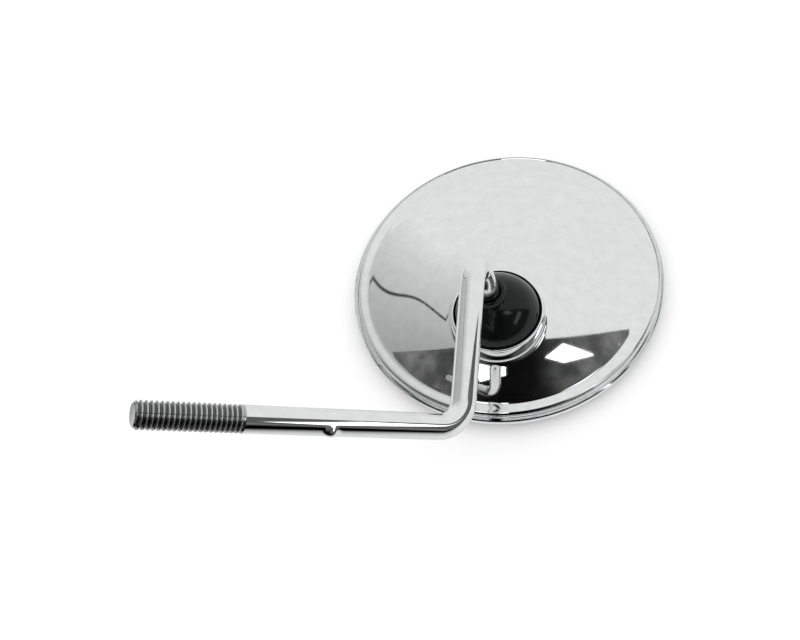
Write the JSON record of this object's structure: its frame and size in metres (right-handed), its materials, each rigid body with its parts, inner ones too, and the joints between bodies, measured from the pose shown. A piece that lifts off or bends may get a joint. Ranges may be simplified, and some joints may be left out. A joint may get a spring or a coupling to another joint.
{
  "type": "round convex mirror on a bent threaded stem",
  "caption": "Round convex mirror in a chromed dished back, on a ball joint set off-centre, with a twice-bent round chrome stem that ends in a male thread.",
  "frame": {"origin": "under the middle of the whole object's box, in the plane that the rim rests on", "axes": "+Z is the head's own axis, out of its dished back, as the head lies glass-down; the stem's threaded end points to -X, -Y and up"},
  "size_m": [0.141, 0.1592, 0.1057],
  "materials": {
    "bright_chrome": "polished chrome plate on steel",
    "mirror_face": "silvered convex glass",
    "gloss_black_plastic": "gloss moulded black plastic",
    "black_rubber": "matt black rubber",
    "grey_felt": "dark grey felt",
    "plated_steel": "zinc plated steel, satin",
    "pale_nylon": "natural nylon, satin"
  },
  "bodies": {
    "head": {"back_shell": "bright_chrome", "rim_ring": "bright_chrome", "mirror_glass": "mirror_face", "glass_gasket": "black_rubber", "backing_pad": "grey_felt", "bridge_plate": "plated_steel", "socket_housing": "plated_steel", "disc_spring": "plated_steel", "retaining_ring": "plated_steel", "plate_stud_1": "plated_steel", "plate_stud_2": "plated_steel", "plate_stud_3": "plated_steel", "spring_washer_1": "plated_steel", "spring_washer_2": "plated_steel", "spring_washer_3": "plated_steel", "stud_nut_1": "plated_steel", "stud_nut_2": "plated_steel", "stud_nut_3": "plated_steel"},
    "seat": {"pressure_cup": "pale_nylon"},
    "sleeve": {"ball_sleeve": "pale_nylon"},
    "stem_arm": {"stem": "bright_chrome", "pivot_ball": "plated_steel", "ball_cap": "gloss_black_plastic"}
  },
  "joints": [
    {"name": "ball_swivel", "type": "hinge", "parent": "head", "child": "seat", "pos_m": [0.01347, 0.00007, 0.0185], "axis": [0, 0, 1], "continuous": true},
    {"name": "ball_tilt_fore_aft", "type": "hinge", "parent": "seat", "child": "sleeve", "pos_m": [0.01347, 0.00007, 0.0185], "axis": [1, 0, 0], "range_deg": [-13.5, 16.4]},
    {"name": "ball_tilt_side", "type": "hinge", "parent": "sleeve", "child": "stem_arm", "pos_m": [0.01347, 0.00007, 0.0185], "axis": [0, 1, 0], "range_deg": [-8.7, 21.3]}
  ]
}
